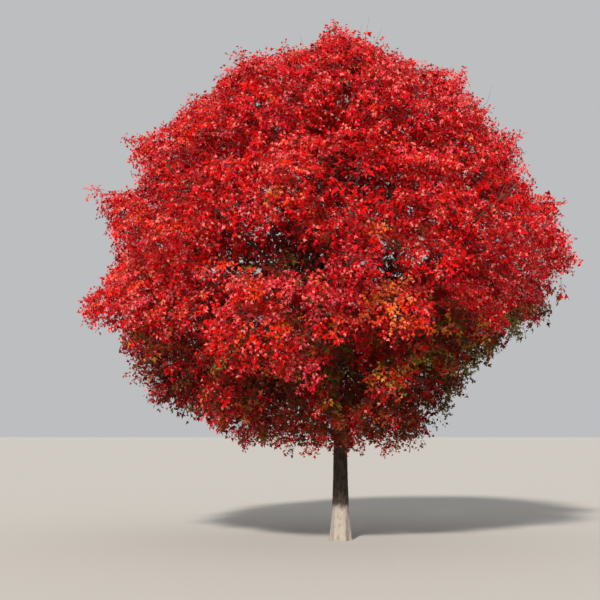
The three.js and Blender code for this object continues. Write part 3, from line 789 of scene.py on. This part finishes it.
def place_veils():
    """The tufts of the veils, spread evenly over each one's oval and along its line of sight."""
    draw = np.random.default_rng(SEED)
    tufts = []
    for (x, y), (wide, high), count in VEILS:
        for i in range(count):
            turn, share = i * GOLDEN_TURN, math.sqrt((i + 0.5) / count)
            pixel = (x + share * wide * math.cos(turn), y + share * high * math.sin(turn))
            place = beside_trunk(pixel, draw.uniform(VEIL_FRONT, VEIL_BACK))
            tufts.append(tuft_at(place, unit(draw.normal(0, 1, 3)), unit(place - CROWN_MIDDLE)))
    for (y, z), (deep, high), count in SIDE_VEILS:
        for i in range(count):
            turn, share = i * GOLDEN_TURN, math.sqrt((i + 0.5) / count)
            place = np.array([SIDE_VEIL_REACH * draw.uniform(-1, 1), y + share * deep * math.cos(turn),
                              z + share * high * math.sin(turn)])
            tuft = tuft_at(place, unit(draw.normal(0, 1, 3)), unit(place - CROWN_MIDDLE))
            if not in_gap(place):
                tufts.append(tuft)
    return tufts


def outer_sprays(mass, draw):
    """Tufts in a row along each spray of this mass that stands out of the crown's outline."""
    sprays = []
    for pixel in OUTER_SPRAYS:
        tip = beside_trunk(pixel, SPRAY_DEPTH * draw.uniform(-1, 1))
        if nearest_mass(tip) is mass:
            out = unit(tip - CROWN_MIDDLE)
            row = []
            for i in range(SPRAY_TUFTS):
                along = unit(out + SPRAY_BEND * i * draw.uniform(-1, 1, 3))
                foot = tip - out * (SHOOT_LENGTH + LEAF_REACH + SPRAY_STEP * i)
                tilt = SPRAY_TILT * draw.uniform(-1, 1, 3)
                row.append((foot, along, unit(UP - SPRAY_LEVEL * UP * out[2] + tilt)))
            sprays.append(row)
    return sprays


def reach_tufts(tufts, wood, stem):
    """A twig from the nearest free place to the foot of every tuft, the nearest tufts first."""
    twigs = []
    for foot, along, face in sorted(tufts, key=lambda tuft: np.linalg.norm(tuft[0] - stem[0])):
        point, way, radius, distance = wood.take(foot)
        spring = BRANCH_SPRING * distance
        steps = 1 if distance < STRAIGHT_TWIG else 2
        line = limb_line(point, way, spring, foot, along, spring, steps)
        radii = np.linspace(max(radius, TWIG_RADIUS), SHOOT_RADIUS, steps + 1)
        twigs.append((line, radii))
        wood.add(line, radii)
    return twigs


def shoots_of(tuft, draw):
    """The main shoot of a tuft and its opposite side shoots, as lines."""
    foot, along, face = tuft
    length = SHOOT_LENGTH * draw.uniform(*SHOOT_LENGTHS)
    side = unit(np.cross(along, unit(face + SHOOT_TURN * draw.uniform(-1, 1, 3))))
    tip = foot + along * length - UP * SHOOT_DROOP * length
    shoots = [np.array([foot, tip])]
    for share, turn, part in SIDE_SHOOTS:
        start = foot + along * share * length
        tilt = SIDE_SHOOT_TILT * draw.uniform(-1, 1, 3)
        way = unit(math.cos(turn) * along + math.sin(turn) * side + tilt)
        shoots.append(np.array([start, start + (way - SIDE_SHOOT_DROOP * UP) * part * length]))
    return shoots


crown_limbs = []
crown_twigs = []
crown_mounds = []
all_front = front_mounds()
all_veils = place_veils()
for mass in masses:
    draw = np.random.default_rng(mass["seed"])
    inside = own_space(mass, masses)
    limbs = [stem_of(mass)]
    wood = Wood()
    wood.add(limbs[0][0], limbs[0][1] * BRANCH_ON_STEM)
    domes = [dome for dome in all_front if nearest_mass(dome["middle"]) is mass]
    in_front = len(domes)
    domes += [dome for dome in grow_branches(mass, inside, wood, limbs)
              if clear_of_front(dome["middle"], 1)]
    mounds = [mound_tufts(dome, draw) for dome in domes]
    if mass["name"] in own_lines:
        bough, radii = own_lines[mass["name"]]
        half = len(bough) // 2
        wood.add(bough[half:], radii[half:] * TWIG_ON_BRANCH)
    mounds += outer_sprays(mass, draw)
    within = inner_tufts(mass, inside, draw) + heart_tufts(mass, draw)
    within += [tuft for tuft in all_veils if nearest_mass(tuft[0]) is mass]
    crown_twigs += reach_tufts(sum(mounds, []) + within, wood, limbs[0][0])
    for ends in BARE_TWIGS:
        foot, tip = (beside_trunk(pixel, 0.0) for pixel in ends)
        if nearest_mass(foot) is mass:
            point = wood.take(foot)[0]
            crown_twigs.append((np.array([point, foot, tip]), BARE_TWIG_RADII))
    kinds = ["front"] * in_front + ["outer"] * (len(mounds) - in_front) + ["shade"] * len(within)
    for tufts, kind in zip(mounds + [[tuft] for tuft in within], kinds):
        shoots = [shoots_of(tuft, draw) for tuft in tufts]
        for shoot in sum(shoots, []):
            crown_twigs.append((shoot, np.linspace(SHOOT_RADIUS, TWIG_TIP_RADIUS, len(shoot))))
        crown_mounds.append((mass, tufts, shoots, kind))
    crown_limbs += limbs

foliage_nodes = [f"foliage_{mass['name']}" for mass in masses]
# Young twigs of red maple have smooth reddish-brown skin; it is too fine here for cracks to show
twig_skin = bpy.data.materials.new("smooth_twig_skin")
twig_skin.use_nodes = True
twig_shader = twig_skin.node_tree.nodes["Principled BSDF"]
twig_spot = add_node(twig_skin.node_tree, "ShaderNodeTexCoord").outputs["Object"]
twig_blotch = add_node(twig_skin.node_tree, "ShaderNodeTexNoise", {
    "Vector": twig_spot, "Scale": TWIG_BLOTCHES_A_METRE, "Detail": 2.0}).outputs[0]
twig_colour = add_node(twig_skin.node_tree, "ShaderNodeMix", {
    0: twig_blotch, 6: linear("#3d2a22"), 7: linear("#6b5245")}, data_type="RGBA").outputs[2]
twig_skin.node_tree.links.new(twig_colour, twig_shader.inputs["Base Color"])
twig_shader.inputs["Roughness"].default_value = 0.7

NO_CRACKS = {"Crack Depth": 0.0, "Crack Spacing": 0.02, "Crack Length": 0.05}
branch_mesh = line_mesh("branch_lines", *zip(*crown_limbs))
pieces = [grow("foliage_branches", branch_mesh, limb_tree, {
    "Sides": BRANCH_SIDES, "Capped": True, "Bark": twig_skin, **NO_CRACKS})]
half = len(crown_twigs) // 2
for name, twigs in (("foliage_twigs_low", crown_twigs[:half]), ("foliage_twigs_high", crown_twigs[half:])):
    twig_mesh = line_mesh("twig_lines", *zip(*twigs))
    pieces.append(grow(name, twig_mesh, limb_tree, {
        "Sides": TWIG_SIDES, "Capped": False, "Bark": twig_skin, **NO_CRACKS}))
for twigs in pieces:
    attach(twigs, "root")
    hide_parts(*foliage_nodes)


# Leaves
# Thin lobed blades, each on a stalk two thirds as long as itself, in opposite pairs along every
# shoot. They fold on the midrib and droop at the lobes. A thin waxy skin gives them a dull gloss.

# Lengths with the stalk
LEAF_LENGTH = 0.09
SHADE_LEAF_LENGTH = 0.15
LEAF_LENGTH_SPREAD = 0.2
# Across, along and height, for a leaf one long: its stalk, and its blade from foot to foot again
STALK = [(0, 0, 0), (0.02, 0.42, 0), (-0.02, 0.42, 0)]
BLADE = [(0, 0.4, 0), (0.32, 0.62, -0.2), (0.13, 0.68, -0.04), (0, 1, -0.18), (-0.13, 0.68, -0.04),
         (-0.32, 0.62, -0.2)]
# Pairs of leaves as shares of the shoot's length; the last of all sits at its tip
MAIN_PAIRS = (0.12, 0.26, 0.4, 0.54, 0.68, 0.82, 0.94)
SIDE_PAIRS = (0.28, 0.5, 0.72, 0.92)
SHADE_PAIRS = (0.4, 0.8)
STALK_ANGLE = 1.0
STALK_TILT = 0.45
LEAF_FACE_UP = 0.2
LEAF_FACE_OUT = 0.75
LEAF_FACE_SIDE = 0.3
LEAF_FACE_TILT = 0.68
LEAF_DROOP = 0.5
# A leaf also faces away from the crown's middle, more level than upright
LEVEL_SHARES = np.array([1, 1, 0.3])
# How broad and how strongly folded a leaf is, as shares of the blade above
LEAF_WIDTHS = (0.85, 1.1)
LEAF_FOLDS = (0.3, 1.8)
# Side veins are about 6 mm apart, and the blade is quilted between them
QUILTS_A_METRE = 160
PIECE_TRIANGLES = 190000
# Autumn tints as plain colours: name, colour, material slot
TINTS = {
    "crimson": ("#c4050b", "leaf_crimson"),
    "scarlet": ("#d00b08", "leaf_scarlet"),
    "deep_red": ("#ab0408", "leaf_dark_red"),
    "cherry": ("#c80a1e", "leaf_crimson"),
    # Rose is pale, partly a painted gloss highlight
    "rose": ("#db404a", "leaf_crimson"),
    "flame": ("#d8320f", "leaf_orange_red"),
    "orange": ("#e2692a", None),
    "amber": ("#d8a648", None),
    "lime": ("#989444", None),
    "olive": ("#7d6a2b", None),
    "sage": ("#7f8462", None),
    "russet": ("#8f3818", None),
    "bronze": ("#a8601f", None),
    "maroon": ("#8c0508", "leaf_dark_red"),
    "umber": ("#561f0a", None),
    "moss": ("#574310", None),
    # Pale undersides, also a painted gloss highlight
    "underside": ("#e0675f", "leaf_crimson"),
}
# Outer sprays by how far up they sit on their mound and mass: paler tints at the tops are painted light, and
# darker tints at the feet painted shade
LIT_MOUND_TOPS = dict(crimson=12, scarlet=20, cherry=16, rose=28, flame=16, orange=1)
SUNLIT = dict(crimson=28, scarlet=20, deep_red=18, cherry=16, rose=9, flame=5, maroon=3)
SHADED_MOUND_FEET = dict(crimson=16, scarlet=3, deep_red=46, cherry=9, maroon=24)
FACE_SHARE = 0.5
TOP_LIFT = 0.45
FOOT_LIFT = 0.02
MOUND_LIFT = 0.5 * (TOP_LIFT + FOOT_LIFT)
PATCH_LIFT = -0.25
# How far a spray's tint may come from, in metres, so that no two tints part along a line
TINT_BLUR = 0.1
# Inside the crown the tints are darker, as painted shade
INNER = dict(crimson=16, scarlet=4, deep_red=40, maroon=34)
# Dark tints painted as shade behind the hollows, and round the mounds that stand out at the front
HOLLOW_SHADE = dict(deep_red=2, maroon=8, umber=16, moss=2)
FRONT_MOUND_SHADE = dict(deep_red=9, maroon=24, umber=13)
HOLLOW_MARGIN = 1.25
FRONT_MARGIN = 1.4
# The lowest sprays have turned least, and their tints are also darkened as painted shade, below one height
# inside the crown and another outside it
INNER_LOW_HEIGHT = 3.4
INNER_LOW = dict(crimson=6, deep_red=10, russet=16, bronze=8, umber=20, moss=16, maroon=24)
LOW_HEIGHT = 2.8
LOW = dict(crimson=12, scarlet=6, deep_red=14, flame=6, rose=4, russet=14, bronze=8, olive=6, umber=18,
           moss=12)
SHADY_SIDE = dict(crimson=3, deep_red=3, maroon=4, russet=10, umber=18, moss=34, olive=20, sage=4, lime=5)
# The shady side lies at the lower right, below a line through a pixel with a slope: its olive and brown
# leaves have turned least, and are darkened as painted shade
SHADY_CORNER = (560, 286)
SHADY_SLOPE = 0.52
SHADY_LEFT = 408
# What share of a mound's sprays keeps to the mound's own tint
MOUND_SHARE = 0.35
# What share of the outer red leaves hangs turned over and shows the pale tint of undersides, made pinker and
# paler as a painted gloss highlight
UNDERSIDE_GLINT_SHARE = 0.18
SHOWS_UNDERSIDE_GLINT = ("crimson", "scarlet", "deep_red", "cherry", "rose", "flame")
# Patches that have turned further or less than their neighbours: pixel, reach in pixels and tints. The pale
# rose patches on the mounds at the front are in part painted light.
# Where two lie over each other, the first one counts
PATCHES = [
    ((306, 331), 9, dict(amber=5, orange=2, flame=1)),
    ((366, 256), 11, dict(orange=2, flame=5, rose=3)),
    ((322, 288), 12, dict(orange=3, flame=5, rose=3)),
    ((280, 314), 17, dict(orange=3, flame=6, rose=3)),
    ((388, 300), 15, dict(orange=2, flame=6, rose=4)),
    ((370, 341), 8, dict(amber=3, orange=3, flame=2)),
    ((349, 326), 10, dict(orange=3, flame=4, rose=3)),
    ((247, 290), 12, dict(flame=5, rose=3, scarlet=2)),
    ((285, 205), 8, dict(orange=2, flame=4, scarlet=3)),
    ((303, 223), 8, dict(amber=1, orange=1, flame=3, rose=3)),
    ((381, 232), 8, dict(orange=2, flame=3, rose=2)),
    ((222, 255), 12, dict(flame=4, rose=4, orange=1)),
    ((336, 200), 7, dict(orange=3, rose=3, flame=2)),
    ((353, 276), 30, dict(cherry=5, rose=10, crimson=2, flame=2)),
    ((308, 296), 28, dict(rose=9, flame=3, cherry=4)),
    ((332, 325), 22, dict(scarlet=3, flame=3, rose=9, cherry=3)),
    ((255, 340), 48, dict(scarlet=5, crimson=3, flame=3, rose=10, cherry=3)),
    ((410, 320), 36, dict(scarlet=5, flame=4, crimson=2, rose=7)),
    ((175, 385), 36, dict(crimson=4, deep_red=5, maroon=5, russet=3, umber=3, olive=1)),
    ((386, 383), 17, dict(amber=3, orange=4, flame=4, crimson=2)),
    ((300, 366), 20, dict(cherry=4, rose=8, crimson=1)),
    ((425, 365), 9, dict(amber=3, lime=2, flame=2)),
    ((445, 400), 9, dict(amber=3, lime=2, russet=2)),
    ((455, 225), 8, dict(amber=3, orange=3, flame=2)),
    ((283, 190), 7, dict(orange=2, flame=3, scarlet=4)),
    ((345, 458), 20, dict(bronze=5, orange=2, russet=3)),
    ((245, 425), 26, dict(crimson=5, cherry=3, scarlet=3, rose=2, russet=2)),
    ((397, 422), 20, dict(crimson=4, scarlet=4, flame=2, russet=3)),
    ((140, 275), 26, dict(flame=6, scarlet=5, rose=3)),
    ((160, 255), 60, dict(scarlet=7, crimson=5, flame=6, cherry=2, rose=4, deep_red=2)),
]


def within_any(pixel, ovals, share):
    """Tells whether a pixel is inside any of some ovals, each drawn larger by the share."""
    return any(math.hypot((pixel[0] - x) / wide, (pixel[1] - y) / high) < share
               for (x, y), (wide, high), *_ in ovals)


def tints_at(point, kind, lift):
    """What share of each tint shows at a point of the crown, on a side that faces up this far."""
    pixel = pixel_of(point)
    # Painted shade behind the hollows
    if kind != "front" and within_any(pixel, HOLLOWS, HOLLOW_MARGIN):
        return HOLLOW_SHADE
    shady_below = SHADY_CORNER[1] + SHADY_SLOPE * (SHADY_CORNER[0] - pixel[0])
    shady = pixel[0] > SHADY_LEFT and pixel[1] > shady_below
    if kind == "shade":
        if shady:
            return SHADY_SIDE
        return INNER_LOW if point[2] < INNER_LOW_HEIGHT else INNER
    if point[1] < 0:
        # Painted shade round the mounds at the front
        if kind != "front" and within_any(pixel, FRONT_MOUNDS, FRONT_MARGIN):
            return FRONT_MOUND_SHADE
        for middle, reach, tints in PATCHES:
            if math.dist(pixel, middle) < reach and lift > PATCH_LIFT:
                return tints
    if shady:
        return SHADY_SIDE
    if point[2] < LOW_HEIGHT:
        return LOW
    # Painted shade at the feet of mounds and masses, painted light at their tops
    if lift < FOOT_LIFT:
        return SHADED_MOUND_FEET
    return LIT_MOUND_TOPS if lift > TOP_LIFT else SUNLIT


def leaf_blade():
    """One leaf: a sliver for its stalk, and a fan of four triangles with three lobes."""
    mesh = bpy.data.meshes.new("leaf_blade")
    foot = len(STALK)
    fan = [(foot, foot + i, foot + i + 1) for i in range(1, len(BLADE) - 1)]
    mesh.from_pydata(STALK + BLADE, [], [(0, 1, 2)] + fan)
    return bpy.data.objects.new("leaf_blade", mesh)


def leaves_on(shoot, pairs, face, draw):
    """Foot, facing and heading of every leaf on one shoot: opposite pairs, each square to the last."""
    tangent = unit(shoot[-1] - shoot[0])
    side = unit(np.cross(tangent, face + 1e-3))
    top = np.cross(side, tangent)
    bends = np.linspace(0, 1, len(shoot))
    feet, ways = [shoot[-1]], [tangent]
    for i, share in enumerate(pairs):
        foot = [np.interp(share, bends, shoot[:, k]) for k in range(3)]
        across = side if i % 2 == 0 else top
        for hand in (-1, 1):
            feet.append(foot)
            ways.append(math.cos(STALK_ANGLE) * tangent + math.sin(STALK_ANGLE) * hand * across)
    count = len(feet)
    ways = np.array(ways) - LEAF_DROOP * UP + STALK_TILT * draw.uniform(-1, 1, (count, 3))
    aside = unit((shoot[0] - CROWN_MIDDLE) * LEVEL_SHARES)
    faces = LEAF_FACE_UP * UP + LEAF_FACE_OUT * face + LEAF_FACE_SIDE * aside + (
        LEAF_FACE_TILT * draw.normal(0, 1, (count, 3)))
    return np.array(feet), faces / np.linalg.norm(faces, axis=1)[:, None], ways


leaf_tree, leaf_in = new_tree("leaves", Feet="Geometry", Blade="Object", Tint="Material")
facing, pointing, span = (add_node(leaf_tree, "GeometryNodeInputNamedAttribute", {
    "Name": label}, data_type="FLOAT_VECTOR").outputs[0] for label in ("facing", "pointing", "span"))
turned = add_node(leaf_tree, "FunctionNodeAxesToRotation", {
    "Primary Axis": facing, "Secondary Axis": pointing}, primary_axis="Z", secondary_axis="Y").outputs[0]
blade_shape = add_node(leaf_tree, "GeometryNodeObjectInfo", {"Object": leaf_in["Blade"]}).outputs["Geometry"]
hung = add_node(leaf_tree, "GeometryNodeInstanceOnPoints", {
    "Points": leaf_in["Feet"], "Instance": blade_shape, "Rotation": turned, "Scale": span}).outputs[0]
real = add_node(leaf_tree, "GeometryNodeRealizeInstances", {"Geometry": hung}).outputs[0]
tinted = add_node(leaf_tree, "GeometryNodeSetMaterial", {
    "Geometry": real, "Material": leaf_in["Tint"]}).outputs[0]
add_node(leaf_tree, "NodeGroupOutput", {"Grown": tinted})


def waxy_leaf(name, colour):
    """A thin leaf in its autumn tint: satin under its wax, and finely quilted."""
    leaf = bpy.data.materials.new(name)
    leaf.use_nodes = True
    tree = leaf.node_tree
    skin = tree.nodes["Principled BSDF"]
    spot = add_node(tree, "ShaderNodeTexCoord").outputs["Object"]
    quilts = add_node(tree, "ShaderNodeTexNoise", {
        "Vector": spot, "Scale": QUILTS_A_METRE, "Detail": 1.0}).outputs[0]
    quilted = add_node(tree, "ShaderNodeBump", {
        "Height": quilts, "Strength": 0.5, "Distance": 0.002}).outputs[0]
    tree.links.new(quilted, skin.inputs["Normal"])
    skin.inputs["Base Color"].default_value = linear(colour)
    skin.inputs["Roughness"].default_value = 0.42
    skin.inputs["Specular IOR Level"].default_value = 0.1
    return leaf


def dealt_tint(shares, draw):
    names = list(shares)
    weights = np.array([shares[name] for name in names], float)
    return draw.choice(names, p=weights / weights.sum())


# Leaves are dealt to the tints by the shoot that they grow on. Shade leaves, inside, are larger
draw = np.random.default_rng(SEED)
dealt = {}
for mass, tufts, shoots, kind in crown_mounds:
    if not tufts:
        continue
    heart = np.mean([foot for foot, along, face in tufts], axis=0)
    mound_tint = dealt_tint(tints_at(heart, kind, MOUND_LIFT), draw)
    outer = kind != "shade"
    for (foot, along, face), own_shoots in zip(tufts, shoots):
        height = (foot[2] - mass["middle"][2]) / mass["radii"][2]
        lift = FACE_SHARE * face[2] + (1 - FACE_SHARE) * height
        shares = tints_at(foot + TINT_BLUR * draw.normal(0, 1, 3), kind, lift)
        for i, shoot in enumerate(own_shoots):
            keeps = mound_tint in shares and draw.random() < MOUND_SHARE
            tint = mound_tint if keeps else dealt_tint(shares, draw)
            outer_pairs = MAIN_PAIRS if i == 0 else SIDE_PAIRS
            leaves = leaves_on(shoot, outer_pairs if outer else SHADE_PAIRS, face, draw)
            # Some leaves take the pale undersides' tint, which is also a painted highlight
            turned = (draw.random(len(leaves[0])) < UNDERSIDE_GLINT_SHARE) & (outer and tint in SHOWS_UNDERSIDE_GLINT)
            dealt.setdefault((tint, outer), []).append([part[~turned] for part in leaves])
            dealt.setdefault(("underside", outer), []).append([part[turned] for part in leaves])

blade = leaf_blade()
leaf_skins = {tint: waxy_leaf(f"{tint}_leaf", colour) for tint, (colour, slot) in TINTS.items()}
for (tint, outer), groups in sorted(dealt.items()):
    feet, facings, pointings = (np.concatenate(part) for part in zip(*groups))
    if len(feet) == 0:
        continue
    length = LEAF_LENGTH if outer else SHADE_LEAF_LENGTH
    kind = "leaves" if outer else "shade_leaves"
    parts = math.ceil(len(feet) * len(blade.data.polygons) / PIECE_TRIANGLES)
    for part, chosen in enumerate(np.array_split(np.arange(len(feet)), parts)):
        count = len(chosen)
        mesh = bpy.data.meshes.new("leaf_feet")
        mesh.vertices.add(count)
        mesh.vertices.foreach_set("co", feet[chosen].ravel())
        size = length * (1 + LEAF_LENGTH_SPREAD * draw.uniform(-1, 1, count))
        spans = size[:, None] * np.stack([
            draw.uniform(*LEAF_WIDTHS, count), np.ones(count), draw.uniform(*LEAF_FOLDS, count)], axis=1)
        own = {"facing": facings[chosen], "pointing": pointings[chosen], "span": spans}
        for label, values in own.items():
            attribute = mesh.attributes.new(label, "FLOAT_VECTOR", "POINT")
            attribute.data.foreach_set("vector", values.ravel())
        name = f"{kind}_{tint}" if parts == 1 else f"{kind}_{tint}_{part + 1}"
        leaves = grow(name, mesh, leaf_tree, {"Blade": blade, "Tint": leaf_skins[tint]})
        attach(leaves, "root")
        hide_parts(*foliage_nodes)
bpy.data.objects.remove(blade)


# Floor, light and camera
# A plain pale floor and backdrop, a soft key light from the front, a little to the left, and an
# even fill. The camera stands where the photograph was taken from.

FLOOR_HALF = 400
FILL_STRENGTH = 0.62
KEY_STRENGTH = 4.9
KEY_SPREAD = math.radians(6)
KEY_FROM = (math.radians(58), 0, math.radians(-15))
LENS = 73.2
SENSOR_WIDTH = 36
CAMERA_PLACE = (-0.63, EYE[1], EYE[2])
TILT = math.radians(6.19)

floor_mesh = bpy.data.meshes.new("pale_floor")
floor_mesh.from_pydata([(-FLOOR_HALF, -FLOOR_HALF, 0), (FLOOR_HALF, -FLOOR_HALF, 0),
                        (FLOOR_HALF, FLOOR_HALF, 0), (-FLOOR_HALF, FLOOR_HALF, 0)], [], [(0, 1, 2, 3)])
floor = bpy.data.objects.new("pale_floor", floor_mesh)
bpy.context.scene.collection.objects.link(floor)
matt_paint = bpy.data.materials.new("matt_floor_paint")
matt_paint.use_nodes = True
floor_shader = matt_paint.node_tree.nodes["Principled BSDF"]
floor_shader.inputs["Base Color"].default_value = linear("#b5b1ab")
floor_shader.inputs["Roughness"].default_value = 0.9
floor_mesh.materials.append(matt_paint)

world = bpy.data.worlds.new("pale_studio")
world.use_nodes = True
backdrop = world.node_tree.nodes["Background"]
backdrop.inputs["Color"].default_value = linear("#e9ebed")
backdrop.inputs["Strength"].default_value = FILL_STRENGTH
bpy.context.scene.world = world

key = bpy.data.lights.new("soft_key", "SUN")
key.energy = KEY_STRENGTH
key.angle = KEY_SPREAD
key.color = linear("#fffaf3")[:3]
key_lamp = bpy.data.objects.new("soft_key", key)
key_lamp.rotation_euler = KEY_FROM
bpy.context.scene.collection.objects.link(key_lamp)

lens = bpy.data.cameras.new("photo_view")
lens.lens = LENS
lens.sensor_width = SENSOR_WIDTH
camera = bpy.data.objects.new("photo_view", lens)
camera.location = CAMERA_PLACE
camera.rotation_euler = (math.pi / 2 + TILT, 0, 0)
bpy.context.scene.collection.objects.link(camera)
bpy.context.scene.camera = camera
bpy.context.scene.view_settings.view_transform = "Standard"
